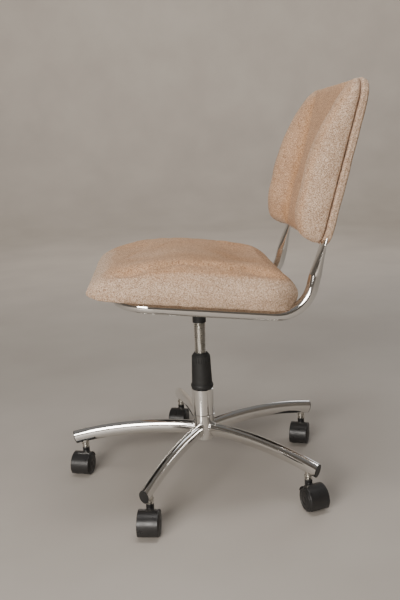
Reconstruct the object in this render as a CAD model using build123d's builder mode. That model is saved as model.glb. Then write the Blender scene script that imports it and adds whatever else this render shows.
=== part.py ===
from build123d import *
import os
from math import atan2, cos, radians, sin

# Swivel work chair: a tweed seat and backrest on one bent chrome tube, a screw-adjusted
# column and a five-leg base on hooded twin-wheel casters.
# Frame: +Z up, origin on the floor under the column axis, the sitter faces -Y.

os.makedirs("parts", exist_ok=True)

# ---- Base: five arched oval legs on a hub
leg_count = 5
first_leg_angle = 45.0
leg_root_radius = 20.0
leg_root_height = 104.0
leg_end_radius = 304.0
leg_end_height = 81.0
leg_arch_rise = 12.0
leg_width = 20.0
leg_height = 32.0
leg_wall = 1.5
leg_cap_flange = 1.5
leg_cap_edge = 0.4
leg_plug_depth = 3.0
cope_margin = 20.0
cut_margin = 2.0
hub_outer_radius = 24.0
hub_inner_radius = 19.0
hub_bottom = 81.0
hub_top = 137.0

# ---- Column: guide tube, chrome cover, bearing, nut in its grip, and the keyed spindle
press_gap = 0.05
running_gap = 0.1
guide_tube_bore = 16.0
guide_tube_rise = 3.0
guide_tube_top = 210.0
cover_outer_radius = 25.0
cover_wall = 2.0
cover_rim_radius = 26.0
cover_rim_height = 3.0
cover_edge = 1.0
cover_top = 200.0
bush_bottom = 176.0
bush_top = 206.0
key_width = 4.6
key_root = 0.6
key_tip_gap = 0.2
keyway_width = 5.0
keyway_floor = 10.5
keyway_angle = -18.0
keyway_top = 340.0
race_thickness = 1.0
ball_radius = 2.0
ball_circle = 16.5
ball_count = 16
race_bore_gap = 1.0
nut_height = 32.0
grip_bottom = 200.4
grip_top = 284.0
grip_bead_height = 10.0
grip_lip_height = 1.5
grip_lip_step = 0.8
grip_bead_radius = 25.6
grip_waist_radius = 23.2
grip_shoulder_radius = 20.8
grip_crown_radius = 14.8
flute_count = 22
flute_radius = 1.3
flute_offset = 0.6
cone_flute_offset = 1.9
cone_flute_rise = 3.0
flute_bottom = 262.0
cone_bottom = 276.0
spindle_radius = 13.0
spindle_bottom = 92.0
spindle_shoulder = 368.0
journal_radius = 11.0
stop_ring_height = 4.0
stop_ring_depth = 1.5
keyway_reach = 10.0
tapped_depth = 20.0
collar_radius = 15.0
collar_bottom = 354.0
swivel_gap = 0.3
socket_outer_radius = 15.0
socket_top = 418.0
swivel_washer_radius = 14.0
swivel_washer_height = 2.0

# ---- Casters: twin 50 mm wheels under a hood that covers their trailing side
stem_circle_radius = 282.0
caster_trail_angles = [18.0, -22.0, -20.0, -17.0, -9.0]
caster_trail = 22.0
wheel_radius = 25.0
wheel_inner_face = 4.6
wheel_outer_face = 23.0
wheel_rim_face = 21.5
wheel_hub_wall = 4.0
wheel_web_depth = 8.0
wheel_rim_depth = 4.5
wheel_rim_step = 0.4
wheel_edge = 1.2
wheel_dome = 0.4
wheel_dome_radius = 15.0
hood_clearance = 0.8
hood_wall = 2.0
hood_half_width = 21.0
hood_low_angle = -38.0
hood_high_angle = 158.0
wedge_steps = 4
web_half_thickness = 4.0
axle_radius = 3.0
axle_boss_radius = 10.8
axle_half_length = 19.0
stem_radius = 5.5
stem_bottom = 46.0
stem_top = 91.0
boss_radius = 8.0
boss_top = 57.0
boss_bottom = 30.0
stem_collar_radius = 7.5
stem_collar_height = 3.2
socket_barrel_radius = 7.0
socket_lip_radius = 8.5
socket_bottom = 64.0
socket_lip_height = 2.5
socket_barrel_top = 91.5

# ---- Seat frame: one bent tube, raked up at the front, its uprights leaning back
rake = 6.8
lean = 15.1
tube_radius = 12.5
tube_wall = 2.0
frame_half_width = 180.0
frame_height = 421.7
frame_front = 170.0
bend_radius = 70.0
rear_corner_y = 200.5
taper_start = 85.0
taper_end = 148.0
flat_half_width = 18.0
flat_half_thickness = 5.5
upright_length = 401.0

# ---- Crossbars, bracket and seat
crossbar_offset = 75.0
crossbar_size = 20.0
crossbar_wall = 1.5
crossbar_top = 12.0
plate_half_width = 45.0
plate_half_length = 95.0
plate_thickness = 3.0
plate_flange = 12.0
bracket_bolt_x = 30.0
seat_screw_x = 110.0
screw_radius = 3.0
bolt_radius = 4.0
bolt_reach = 8.0
hex_radius = 7.5
hex_head_height = 5.3
hex_nut_height = 6.5
pan_head_height = 3.0
screw_tip_depth = 2.0
screw_gap = 0.15
dust_cover_bottom = 12.6
dust_cover_thickness = 1.0
board_thickness = 12.0
blind_floor = 1.0
board_gap = 0.1
seat_half_width = 220.0
seat_front = 222.0
seat_rear = 192.0
seat_corner_radius = 90.0
seat_underside = 13.2
seat_board_inset = 26.0
dust_cover_inset = 34.0
seat_profile = [(-218, 44), (-196, 63), (-156, 80), (-65, 99), (0, 104), (85, 101), (150, 90), (184, 64)]
seat_bottom_round = 8.0
seat_rear_edge = 22.0

# ---- Backrest, measured up the lean from its lower edge and forward from the uprights
back_start = 146.3
back_height = 327.0
back_half_width = 205.0
back_edge_start = 2.0
back_edge_end = 324.0
back_corner_radius = 45.0
upright_slot_length = 46.0
upright_slot_lead = 5.0
upright_slot_gap = 1.5
back_face = 6.3
back_board_gap = 0.3
back_board_thickness = 10.0
back_board_inset = 16.0
back_profile = [(-1, 18), (12, 36), (36, 52), (70, 68), (120, 76), (200, 77), (257, 74), (290, 62),
                (310, 45), (322, 28), (327, 14)]
panel_profile = [(2, -8), (40, -13), (100, -16), (180, -16.5), (250, -14), (295, -9), (318, -3), (325, 2)]
panel_inset = 2.0
panel_wall = 4.0
back_screw_rows = [60.0, 220.0]

# ---- Derived values
rear_corner = rear_corner_y / cos(radians(rake))
guide_tube_radius = hub_inner_radius - press_gap
nut_bottom = guide_tube_top + race_thickness + 2 * ball_radius + 2 * running_gap
nut_top = nut_bottom + nut_height
nut_radius = hub_inner_radius
hood_outer_radius = wheel_radius + hood_clearance + hood_wall
wheel_cavity_radius = wheel_radius + hood_clearance
board_bottom = dust_cover_bottom + dust_cover_thickness + board_gap
board_top = board_bottom + board_thickness
plate_top = crossbar_top - crossbar_size - board_gap
back_board_front = back_face + back_board_gap + back_board_thickness

# ---- Planes
frame_plane = Plane(
    origin=(0, 0, frame_height), x_dir=(1, 0, 0), z_dir=(0, sin(radians(rake)), cos(radians(rake)))
)
corner_point = frame_plane.from_local_coords(Vector(0, rear_corner, 0))
up_the_lean = Vector(0, sin(radians(lean)), cos(radians(lean)))
forward = Vector(0, -cos(radians(lean)), sin(radians(lean)))
back_origin = corner_point + up_the_lean * back_start


def across_upright(distance, side=1):
    """Plane square to an upright, this far up from the rear corner of the frame."""
    origin = corner_point + up_the_lean * distance + Vector(side * frame_half_width, 0, 0)
    return Plane(origin=origin, x_dir=(1, 0, 0), z_dir=up_the_lean)


def back_plane(offset):
    """Plane of the backrest: local x across, local y up the lean, offset forward of the uprights."""
    return Plane(origin=back_origin + forward * offset, x_dir=(1, 0, 0), z_dir=forward)


def leg_angle(index):
    return first_leg_angle + index * 360.0 / leg_count


def radial_plane(angle):
    """Upright plane through the column axis: local x outward, local y up."""
    turn = radians(angle)
    return Plane(origin=(0, 0, 0), x_dir=(cos(turn), sin(turn), 0), z_dir=(sin(turn), -cos(turn), 0))


def leg_path(angle):
    """Centre line of a leg: one arc, arched upward between the hub and the foot."""
    run = leg_end_radius - leg_root_radius
    drop = leg_root_height - leg_end_height
    slope = atan2(drop, run)
    middle_x = (leg_root_radius + leg_end_radius) / 2 + leg_arch_rise * sin(slope)
    middle_y = (leg_root_height + leg_end_height) / 2 + leg_arch_rise * cos(slope)
    with BuildLine(radial_plane(angle)) as path:
        ThreePointArc(
            (leg_root_radius, leg_root_height),
            (middle_x, middle_y),
            (leg_end_radius, leg_end_height),
        )
    return path


def leg_section(path, angle, position):
    """Plane square to a leg, with local x level."""
    turn = radians(angle)
    return Plane(origin=path.line @ position, x_dir=(-sin(turn), cos(turn), 0), z_dir=path.line % position)


def ring(name, outer, inner, bottom, top):
    """A plain turned ring on the column axis."""
    with BuildPart() as piece:
        with BuildSketch(Plane.XY.offset(bottom)):
            Circle(outer)
            Circle(inner, mode=Mode.SUBTRACT)
        extrude(amount=top - bottom)
    piece.part.label = name
    export_step(piece.part, f"parts/{name}.step")


# ---------------------------------------------------------------- base
def make_hub():
    ring("hub_tube", hub_outer_radius, hub_inner_radius, hub_bottom, hub_top)


def make_leg(index):
    """Oval tube leg, coped to the hub at its root and drilled underneath for the caster socket."""
    angle = leg_angle(index)
    path = leg_path(angle)
    hole = Vector(stem_circle_radius, 0, 0).rotate(Axis.Z, angle)
    with BuildPart() as base_leg:
        with BuildSketch(leg_section(path, angle, 0)):
            Ellipse(leg_width / 2, leg_height / 2)
            Ellipse(leg_width / 2 - leg_wall, leg_height / 2 - leg_wall, mode=Mode.SUBTRACT)
        sweep(path=path.line)
        with BuildSketch(Plane.XY.offset(hub_bottom - cope_margin)):
            Circle(hub_outer_radius + press_gap)
        extrude(amount=hub_top - hub_bottom + 2 * cope_margin, mode=Mode.SUBTRACT)
        with BuildSketch(Plane(origin=hole)):
            Circle(socket_barrel_radius + press_gap)
        extrude(amount=leg_end_height, mode=Mode.SUBTRACT)
    base_leg.part.label = f"base_leg_{index + 1}"
    export_step(base_leg.part, f"parts/base_leg_{index + 1}.step")


def make_leg_end_caps():
    """Black plastic plugs: an oval flange over each tube end and a spigot inside it."""
    inside = leg_wall + press_gap
    with BuildPart() as leg_end_caps:
        for index in range(leg_count):
            path = leg_path(leg_angle(index))
            end = leg_section(path, leg_angle(index), 1)
            with BuildSketch(end.offset(press_gap)):
                Ellipse(leg_width / 2 - leg_cap_edge, leg_height / 2 - leg_cap_edge)
            extrude(amount=leg_cap_flange)
            with BuildSketch(end.offset(press_gap)):
                Ellipse(leg_width / 2 - inside, leg_height / 2 - inside)
            extrude(amount=-leg_plug_depth)
    leg_end_caps.part.label = "leg_end_caps"
    export_step(leg_end_caps.part, "parts/leg_end_caps.step")


def make_caster_sockets():
    """Steel sleeves pressed up into the legs: a lip below the leg and a bore for the caster stem."""
    with BuildPart() as caster_sockets:
        for index in range(leg_count):
            centre = Vector(stem_circle_radius, 0, socket_bottom).rotate(Axis.Z, leg_angle(index))
            with BuildSketch(Plane(origin=centre)):
                Circle(socket_lip_radius)
                Circle(stem_radius + running_gap, mode=Mode.SUBTRACT)
            extrude(amount=socket_lip_height)
            with BuildSketch(Plane(origin=centre)):
                Circle(socket_barrel_radius)
                Circle(stem_radius + running_gap, mode=Mode.SUBTRACT)
            extrude(amount=socket_barrel_top - socket_bottom)
    caster_sockets.part.label = "caster_sockets"
    export_step(caster_sockets.part, "parts/caster_sockets.step")


# ---------------------------------------------------------------- column
def make_guide_tube():
    ring("guide_tube", guide_tube_radius, guide_tube_bore, hub_bottom + guide_tube_rise, guide_tube_top)


def make_column_cover():
    """Chrome sleeve round the guide tube, with a rolled rim where it stands on the hub."""
    bottom = hub_top + board_gap
    with BuildPart() as column_cover:
        with BuildSketch(Plane.XZ):
            with BuildLine():
                Polyline(
                    (cover_outer_radius - cover_wall, bottom),
                    (cover_rim_radius - cover_edge, bottom),
                    (cover_rim_radius, bottom + cover_edge),
                    (cover_rim_radius, bottom + cover_rim_height - cover_edge),
                    (cover_outer_radius, bottom + cover_rim_height),
                    (cover_outer_radius, cover_top - cover_edge),
                    (cover_outer_radius - cover_edge, cover_top),
                    (cover_outer_radius - cover_wall, cover_top),
                    close=True,
                )
            make_face()
        revolve(axis=Axis.Z)
    column_cover.part.label = "column_cover"
    export_step(column_cover.part, "parts/column_cover.step")


def make_guide_bush():
    """Bush at the top of the guide tube. Its key stops the spindle turning."""
    bore = spindle_radius + running_gap
    key_depth = bore - keyway_floor
    with BuildPart() as guide_bush:
        with BuildSketch(Plane.XY.offset(bush_bottom)):
            Circle(guide_tube_bore - press_gap)
            Circle(bore, mode=Mode.SUBTRACT)
            with PolarLocations(bore - key_depth / 2 + key_root, 1, start_angle=keyway_angle):
                Rectangle(key_depth - key_tip_gap, key_width)
        extrude(amount=bush_top - bush_bottom)
    guide_bush.part.label = "guide_bush"
    export_step(guide_bush.part, "parts/guide_bush.step")


def make_thrust_bearing():
    """A race on the guide tube's end and a ring of balls that carry the nut."""
    race_top = guide_tube_top + race_thickness
    ring("thrust_race", guide_tube_radius, spindle_radius + race_bore_gap, guide_tube_top, race_top)
    with BuildPart() as thrust_balls:
        with Locations(Plane.XY.offset(race_top + ball_radius + press_gap)):
            with PolarLocations(ball_circle, ball_count):
                Sphere(ball_radius)
    thrust_balls.part.label = "thrust_balls"
    export_step(thrust_balls.part, "parts/thrust_balls.step")


def make_spindle_nut():
    ring("spindle_nut", nut_radius, spindle_radius + swivel_gap, nut_bottom, nut_top)


def make_grip():
    """Black grip moulded round the nut: bead below, fluted conical crown above."""
    skirt_bore = guide_tube_radius + 2 * swivel_gap
    nut_bore = nut_radius + press_gap
    top_bore = spindle_radius + swivel_gap + running_gap
    bead_bottom = grip_bottom + grip_lip_height
    bead_middle = bead_bottom + grip_bead_height / 2
    bead_top = bead_bottom + grip_bead_height
    with BuildPart() as grip_sleeve:
        with BuildSketch(Plane.XZ):
            with BuildLine():
                l1 = Line((skirt_bore, grip_bottom), (grip_waist_radius + grip_lip_step, grip_bottom))
                l2 = Line(l1 @ 1, (grip_waist_radius + grip_lip_step, bead_bottom))
                l3 = ThreePointArc(l2 @ 1, (grip_bead_radius, bead_middle), (grip_waist_radius, bead_top))
                Polyline(
                    l3 @ 1,
                    (grip_shoulder_radius + flute_offset, flute_bottom),
                    (grip_shoulder_radius, cone_bottom),
                    (grip_crown_radius, grip_top),
                    (top_bore, grip_top),
                    (top_bore, nut_top + press_gap),
                    (nut_bore, nut_top + press_gap),
                    (nut_bore, nut_bottom),
                    (skirt_bore, nut_bottom),
                    (skirt_bore, grip_bottom),
                )
            make_face()
        revolve(axis=Axis.Z)
        with BuildSketch(Plane.XY.offset(flute_bottom)):
            with PolarLocations(grip_shoulder_radius + flute_offset, flute_count):
                Circle(flute_radius)
        extrude(amount=grip_top - flute_bottom, mode=Mode.SUBTRACT)
        with BuildSketch(Plane.XY.offset(cone_bottom + cone_flute_rise)):
            with PolarLocations(grip_crown_radius + cone_flute_offset, flute_count):
                Circle(flute_radius)
        extrude(amount=grip_top - cone_bottom, mode=Mode.SUBTRACT)
    grip_sleeve.part.label = "grip_sleeve"
    export_step(grip_sleeve.part, "parts/grip_sleeve.step")


def make_spindle():
    """Steel spindle: threaded length with a keyway, then a plain journal for the seat to turn on."""
    with BuildPart() as spindle:
        with BuildSketch(Plane.XY.offset(spindle_bottom)):
            Circle(spindle_radius)
        extrude(amount=spindle_shoulder - spindle_bottom)
        with BuildSketch(Plane.XY.offset(spindle_shoulder)):
            Circle(journal_radius)
        extrude(amount=socket_top + swivel_gap - spindle_shoulder)
        with BuildSketch(Plane.XY.offset(spindle_bottom)):
            with PolarLocations(keyway_floor + keyway_reach / 2, 1, start_angle=keyway_angle):
                Rectangle(keyway_reach, keyway_width)
        extrude(amount=keyway_top - spindle_bottom, mode=Mode.SUBTRACT)
        with BuildSketch(Plane.XY.offset(socket_top + swivel_gap)):
            Circle(bolt_radius + press_gap)
        extrude(amount=-tapped_depth, mode=Mode.SUBTRACT)
        with BuildSketch(Plane.XY.offset(spindle_bottom)):
            Circle(spindle_radius)
            Circle(spindle_radius - stop_ring_depth, mode=Mode.SUBTRACT)
        extrude(amount=stop_ring_height, mode=Mode.SUBTRACT)
    spindle.part.label = "spindle"
    export_step(spindle.part, "parts/spindle.step")


def make_spindle_trim():
    """Stop ring at the foot of the spindle, black collar at its shoulder, washer and screw on top."""
    ring(
        "spindle_stop_ring",
        guide_tube_bore - swivel_gap,
        spindle_radius - stop_ring_depth + press_gap,
        spindle_bottom,
        spindle_bottom + stop_ring_height - press_gap,
    )
    ring("top_collar", collar_radius, spindle_radius + press_gap, collar_bottom, spindle_shoulder)
    washer_bottom = socket_top + swivel_gap + press_gap
    washer_top = washer_bottom + swivel_washer_height
    ring("swivel_washer", swivel_washer_radius, bolt_radius + press_gap, washer_bottom, washer_top)
    with BuildPart() as swivel_screw:
        with BuildSketch(Plane.XY.offset(washer_top + press_gap)):
            RegularPolygon(radius=hex_radius, side_count=6)
        extrude(amount=hex_head_height)
        with BuildSketch(Plane.XY.offset(washer_top + press_gap)):
            Circle(bolt_radius)
        extrude(amount=-tapped_depth)
    swivel_screw.part.label = "swivel_screw"
    export_step(swivel_screw.part, "parts/swivel_screw.step")


# ---------------------------------------------------------------- seat frame
def frame_half_path():
    """Centre line of half the tube: front crossing, side run, then the upright to the taper."""
    up_end = corner_point + up_the_lean * taper_start + Vector(frame_half_width, 0, 0)
    with BuildLine() as path:
        FilletPolyline(
            frame_plane.from_local_coords(Vector(0, -frame_front, 0)),
            frame_plane.from_local_coords(Vector(frame_half_width, -frame_front, 0)),
            frame_plane.from_local_coords(Vector(frame_half_width, rear_corner, 0)),
            up_end,
            radius=bend_radius,
        )
    return path


def tube_solid(shrink):
    """Half the bent tube as a solid: round sweep, taper to an oval, oval upright end."""
    path = frame_half_path()
    with BuildPart() as half:
        with BuildSketch(Plane(origin=path.line @ 0, x_dir=(0, 1, 0), z_dir=(1, 0, 0))):
            Circle(tube_radius - shrink)
        sweep(path=path.line)
        with BuildSketch(across_upright(taper_start)):
            Circle(tube_radius - shrink)
        with BuildSketch(across_upright(taper_end)):
            Ellipse(flat_half_width - shrink, flat_half_thickness - shrink)
        loft()
        with BuildSketch(across_upright(taper_end)):
            Ellipse(flat_half_width - shrink, flat_half_thickness - shrink)
        extrude(amount=upright_length - taper_end)
    return half.part


def make_seat_frame_tube():
    """One chrome tube: across the front, back under the seat and up into flattened uprights."""
    outer = tube_solid(0)
    bore = tube_solid(tube_wall)
    with BuildPart() as seat_frame_tube:
        add(outer)
        add(bore, mode=Mode.SUBTRACT)
        mirror(about=Plane.YZ)
        for row in back_screw_rows:
            for side in (-1, 1):
                with BuildSketch(back_plane(-flat_half_thickness - cut_margin)):
                    with Locations((side * frame_half_width, row)):
                        Circle(screw_radius + screw_gap)
                extrude(amount=2 * (flat_half_thickness + cut_margin), mode=Mode.SUBTRACT)
    seat_frame_tube.part.label = "seat_frame_tube"
    export_step(seat_frame_tube.part, "parts/seat_frame_tube.step")


def side_tube_clearance():
    """Solid round both side runs of the tube, for coping what is welded between them."""
    middle = frame_plane.from_local_coords(Vector(frame_half_width, 0, 0))
    with BuildPart() as clearance:
        with BuildSketch(Plane(origin=middle, x_dir=(1, 0, 0), z_dir=frame_plane.y_dir)):
            Circle(tube_radius + press_gap)
        extrude(amount=crossbar_offset + crossbar_size, both=True)
        mirror(about=Plane.YZ)
    return clearance.part


def in_frame(offset):
    """Plane parallel to the raked seat frame."""
    return frame_plane.offset(offset)


def make_crossbar(name, offset):
    """Square tube welded between the side runs, drilled for the seat screws and bracket bolts."""
    middle = frame_plane.from_local_coords(Vector(0, offset, crossbar_top - crossbar_size / 2))
    bore = crossbar_size - 2 * crossbar_wall
    with BuildPart() as crossbar:
        with BuildSketch(Plane(origin=middle, x_dir=frame_plane.y_dir, z_dir=(1, 0, 0))):
            Rectangle(crossbar_size, crossbar_size)
            Rectangle(bore, bore, mode=Mode.SUBTRACT)
        extrude(amount=frame_half_width, both=True)
        add(side_tube_clearance(), mode=Mode.SUBTRACT)
        with BuildSketch(in_frame(crossbar_top)):
            with Locations((-seat_screw_x, offset), (seat_screw_x, offset)):
                Circle(screw_radius + screw_gap)
        extrude(amount=-crossbar_size, mode=Mode.SUBTRACT)
        with BuildSketch(in_frame(crossbar_top - crossbar_size)):
            with Locations((-bracket_bolt_x, offset), (bracket_bolt_x, offset)):
                Circle(bolt_radius + screw_gap)
        extrude(amount=crossbar_wall * 2, mode=Mode.SUBTRACT)
    crossbar.part.label = name
    export_step(crossbar.part, f"parts/{name}.step")


def make_bracket():
    """Pressed plate under the crossbars and the upright socket that turns on the spindle."""
    with BuildPart() as bracket_plate:
        with BuildSketch(in_frame(plate_top)):
            Rectangle(2 * plate_half_width, 2 * plate_half_length)
        extrude(amount=-plate_thickness)
        with BuildSketch(in_frame(plate_top - plate_thickness)):
            with GridLocations(2 * plate_half_width - plate_thickness, 0, 2, 1):
                Rectangle(plate_thickness, 2 * plate_half_length)
        extrude(amount=-plate_flange)
        with BuildSketch(Plane.XY.offset(spindle_shoulder)):
            Circle(socket_outer_radius + press_gap)
        extrude(amount=2 * (socket_top - spindle_shoulder), mode=Mode.SUBTRACT)
        with BuildSketch(in_frame(plate_top - plate_thickness)):
            with GridLocations(2 * bracket_bolt_x, 2 * crossbar_offset, 2, 2):
                Circle(bolt_radius + screw_gap)
        extrude(amount=plate_thickness, mode=Mode.SUBTRACT)
    bracket_plate.part.label = "bracket_plate"
    export_step(bracket_plate.part, "parts/bracket_plate.step")
    ring(
        "swivel_socket",
        socket_outer_radius,
        journal_radius + running_gap,
        spindle_shoulder + swivel_gap,
        socket_top,
    )


def make_bracket_bolts():
    """Hexagon bolts up through the plate, with a nut inside each crossbar."""
    head_top = plate_top - plate_thickness - press_gap
    nut_bottom_level = crossbar_top - crossbar_size + crossbar_wall + press_gap
    with BuildPart() as bracket_bolts:
        with BuildSketch(in_frame(head_top)):
            with GridLocations(2 * bracket_bolt_x, 2 * crossbar_offset, 2, 2):
                RegularPolygon(radius=hex_radius, side_count=6)
        extrude(amount=-hex_head_height)
        with BuildSketch(in_frame(head_top)):
            with GridLocations(2 * bracket_bolt_x, 2 * crossbar_offset, 2, 2):
                Circle(bolt_radius)
        extrude(amount=nut_bottom_level + bolt_reach - head_top)
        with BuildSketch(in_frame(nut_bottom_level)):
            with GridLocations(2 * bracket_bolt_x, 2 * crossbar_offset, 2, 2):
                RegularPolygon(radius=hex_radius, side_count=6)
        extrude(amount=hex_nut_height)
    bracket_bolts.part.label = "bracket_bolts"
    export_step(bracket_bolts.part, "parts/bracket_bolts.step")


# ---------------------------------------------------------------- seat
def seat_outline(inset):
    """Rounded seat plan in the raked plane, drawn this far inside the cushion's edge."""
    width = 2 * (seat_half_width - inset)
    depth = seat_front + seat_rear - 2 * inset
    with Locations((0, (seat_rear - seat_front) / 2)):
        RectangleRounded(width, depth, seat_corner_radius - inset / 2)


def make_seat_board():
    """Plywood seat board, with blind holes for the screws."""
    with BuildPart() as seat_board:
        with BuildSketch(in_frame(board_bottom)):
            seat_outline(seat_board_inset)
        extrude(amount=board_thickness)
        with BuildSketch(in_frame(board_bottom)):
            with GridLocations(2 * seat_screw_x, 2 * crossbar_offset, 2, 2):
                Circle(screw_radius + press_gap)
        extrude(amount=board_thickness - blind_floor, mode=Mode.SUBTRACT)
    seat_board.part.label = "seat_board"
    export_step(seat_board.part, "parts/seat_board.step")


def make_seat_dust_cover():
    """Thin black sheet stapled under the board."""
    with BuildPart() as seat_dust_cover:
        with BuildSketch(in_frame(dust_cover_bottom)):
            seat_outline(dust_cover_inset)
            with GridLocations(2 * seat_screw_x, 2 * crossbar_offset, 2, 2):
                Circle(screw_radius + screw_gap, mode=Mode.SUBTRACT)
        extrude(amount=dust_cover_thickness)
    seat_dust_cover.part.label = "seat_dust_cover"
    export_step(seat_dust_cover.part, "parts/seat_dust_cover.step")


def make_seat_screws():
    """Pan-head screws up through the crossbars into the board."""
    head_top = crossbar_top - crossbar_size - press_gap
    with BuildPart() as seat_screws:
        with BuildSketch(in_frame(head_top)):
            with GridLocations(2 * seat_screw_x, 2 * crossbar_offset, 2, 2):
                Circle(2 * screw_radius)
        extrude(amount=-pan_head_height)
        with BuildSketch(in_frame(head_top)):
            with GridLocations(2 * seat_screw_x, 2 * crossbar_offset, 2, 2):
                Circle(screw_radius)
        extrude(amount=board_top - screw_tip_depth - head_top)
    seat_screws.part.label = "seat_screws"
    export_step(seat_screws.part, "parts/seat_screws.step")


def make_seat_cushion():
    """Seat pad: crowned across its depth, falling to a thin front edge, hollowed for its board."""
    side_plane = Plane(origin=frame_plane.origin, x_dir=frame_plane.y_dir, z_dir=(1, 0, 0))
    with BuildPart() as seat_cushion:
        with BuildSketch(side_plane):
            with BuildLine():
                front = Line(
                    (-seat_front + seat_bottom_round, seat_underside),
                    (-seat_front, seat_underside + seat_bottom_round),
                )
                crown = Spline(front @ 1, *seat_profile, (seat_rear, seat_underside + seat_rear_edge))
                rear = Line(crown @ 1, (seat_rear - seat_bottom_round, seat_underside))
                Line(rear @ 1, front @ 0)
            make_face()
        extrude(amount=seat_half_width, both=True)
        with BuildSketch(in_frame(0)):
            seat_outline(0)
        extrude(amount=2 * seat_front, mode=Mode.INTERSECT)
        with BuildSketch(in_frame(seat_underside - 1)):
            seat_outline(seat_board_inset - swivel_gap)
        extrude(amount=board_top + swivel_gap - seat_underside + 1, mode=Mode.SUBTRACT)
    seat_cushion.part.label = "seat_cushion"
    export_step(seat_cushion.part, "parts/seat_cushion.step")


# ---------------------------------------------------------------- backrest
def back_outline(inset):
    """Rounded backrest outline, drawn this far inside the pad's edge."""
    with Locations((0, back_height / 2)):
        RectangleRounded(
            2 * (back_half_width - inset), back_height - 2 * inset, back_corner_radius - inset / 2
        )


def back_screw_spots():
    return [(side * frame_half_width, row) for row in back_screw_rows for side in (-1, 1)]


def make_back_board():
    """Plywood behind the pad, in front of the flattened uprights."""
    with BuildPart() as back_board:
        with BuildSketch(back_plane(back_face)):
            back_outline(back_board_inset)
        extrude(amount=back_board_thickness)
        with BuildSketch(back_plane(back_face)):
            with Locations(*back_screw_spots()):
                Circle(screw_radius + press_gap)
        extrude(amount=back_board_thickness - blind_floor, mode=Mode.SUBTRACT)
    back_board.part.label = "back_board"
    export_step(back_board.part, "parts/back_board.step")


def make_back_cushion():
    """Backrest pad: full in the middle, thin at the top edge, hollowed behind for its board."""
    side_plane = Plane(origin=back_origin, x_dir=up_the_lean, z_dir=(1, 0, 0))
    with BuildPart() as back_cushion:
        with BuildSketch(side_plane):
            with BuildLine():
                face = Spline((back_edge_start, back_face), *back_profile, (back_edge_end, back_face))
                Line(face @ 1, face @ 0)
            make_face()
        extrude(amount=back_half_width, both=True)
        with BuildSketch(back_plane(0)):
            back_outline(0)
        extrude(amount=back_half_width, mode=Mode.INTERSECT)
        with BuildSketch(back_plane(0)):
            back_outline(back_board_inset - swivel_gap)
        extrude(amount=back_board_front, mode=Mode.SUBTRACT)
    back_cushion.part.label = "back_cushion"
    export_step(back_cushion.part, "parts/back_cushion.step")


def panel_solid(inset, lift):
    """Solid between the backrest's seam and a crowned rear face, which is lifted forward by this much."""
    side_plane = Plane(origin=back_origin, x_dir=up_the_lean, z_dir=(1, 0, 0))
    seam = back_face - press_gap
    low, high = panel_profile[0][0], panel_profile[-1][0]
    with BuildPart() as solid:
        with BuildSketch(side_plane):
            with BuildLine():
                rear = Spline(*[(up, out + lift) for up, out in panel_profile])
                Polyline(rear @ 1, (high, seam + lift), (low, seam + lift), rear @ 0)
            make_face()
        extrude(amount=back_half_width, both=True)
        with BuildSketch(back_plane(-back_half_width)):
            back_outline(inset)
        extrude(amount=back_half_width + seam + lift, mode=Mode.INTERSECT)
    return solid.part


def make_back_panel():
    """Upholstered rear cover: a shallow crowned tray that hides the upright ends and their screws."""
    outer = panel_solid(panel_inset, 0)
    hollow = panel_solid(panel_inset + panel_wall, panel_wall)
    slot_width = 2 * (flat_half_width + upright_slot_gap)
    slot_depth = 2 * (flat_half_thickness + upright_slot_gap)
    with BuildPart() as back_panel:
        add(outer)
        add(hollow, mode=Mode.SUBTRACT)
        for side in (-1, 1):
            with BuildSketch(across_upright(back_start - upright_slot_lead, side)):
                Rectangle(slot_width, slot_depth)
            extrude(amount=upright_slot_length, mode=Mode.SUBTRACT)
    back_panel.part.label = "back_panel"
    export_step(back_panel.part, "parts/back_panel.step")


def make_back_screws():
    """Pan-head screws through the flattened uprights into the back board."""
    seat_level = -flat_half_thickness - press_gap
    with BuildPart() as back_screws:
        with BuildSketch(back_plane(seat_level)):
            with Locations(*back_screw_spots()):
                Circle(2 * screw_radius)
        extrude(amount=-pan_head_height)
        with BuildSketch(back_plane(seat_level)):
            with Locations(*back_screw_spots()):
                Circle(screw_radius)
        extrude(amount=back_face + back_board_thickness - screw_tip_depth - seat_level)
    back_screws.part.label = "back_screws"
    export_step(back_screws.part, "parts/back_screws.step")


# ---------------------------------------------------------------- casters
def caster_planes(index):
    """Stem axis plane on the floor, and the upright plane through the wheel centre."""
    stem = Vector(stem_circle_radius, 0, 0).rotate(Axis.Z, leg_angle(index))
    trail = Vector(1, 0, 0).rotate(Axis.Z, caster_trail_angles[index])
    axle = trail.cross(Vector(0, 0, 1))
    floor_plane = Plane(origin=stem, x_dir=trail, z_dir=(0, 0, 1))
    wheel_centre = stem + trail * caster_trail + Vector(0, 0, wheel_radius)
    wheel_plane = Plane(origin=wheel_centre, x_dir=trail, z_dir=axle)
    return floor_plane, wheel_plane


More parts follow.
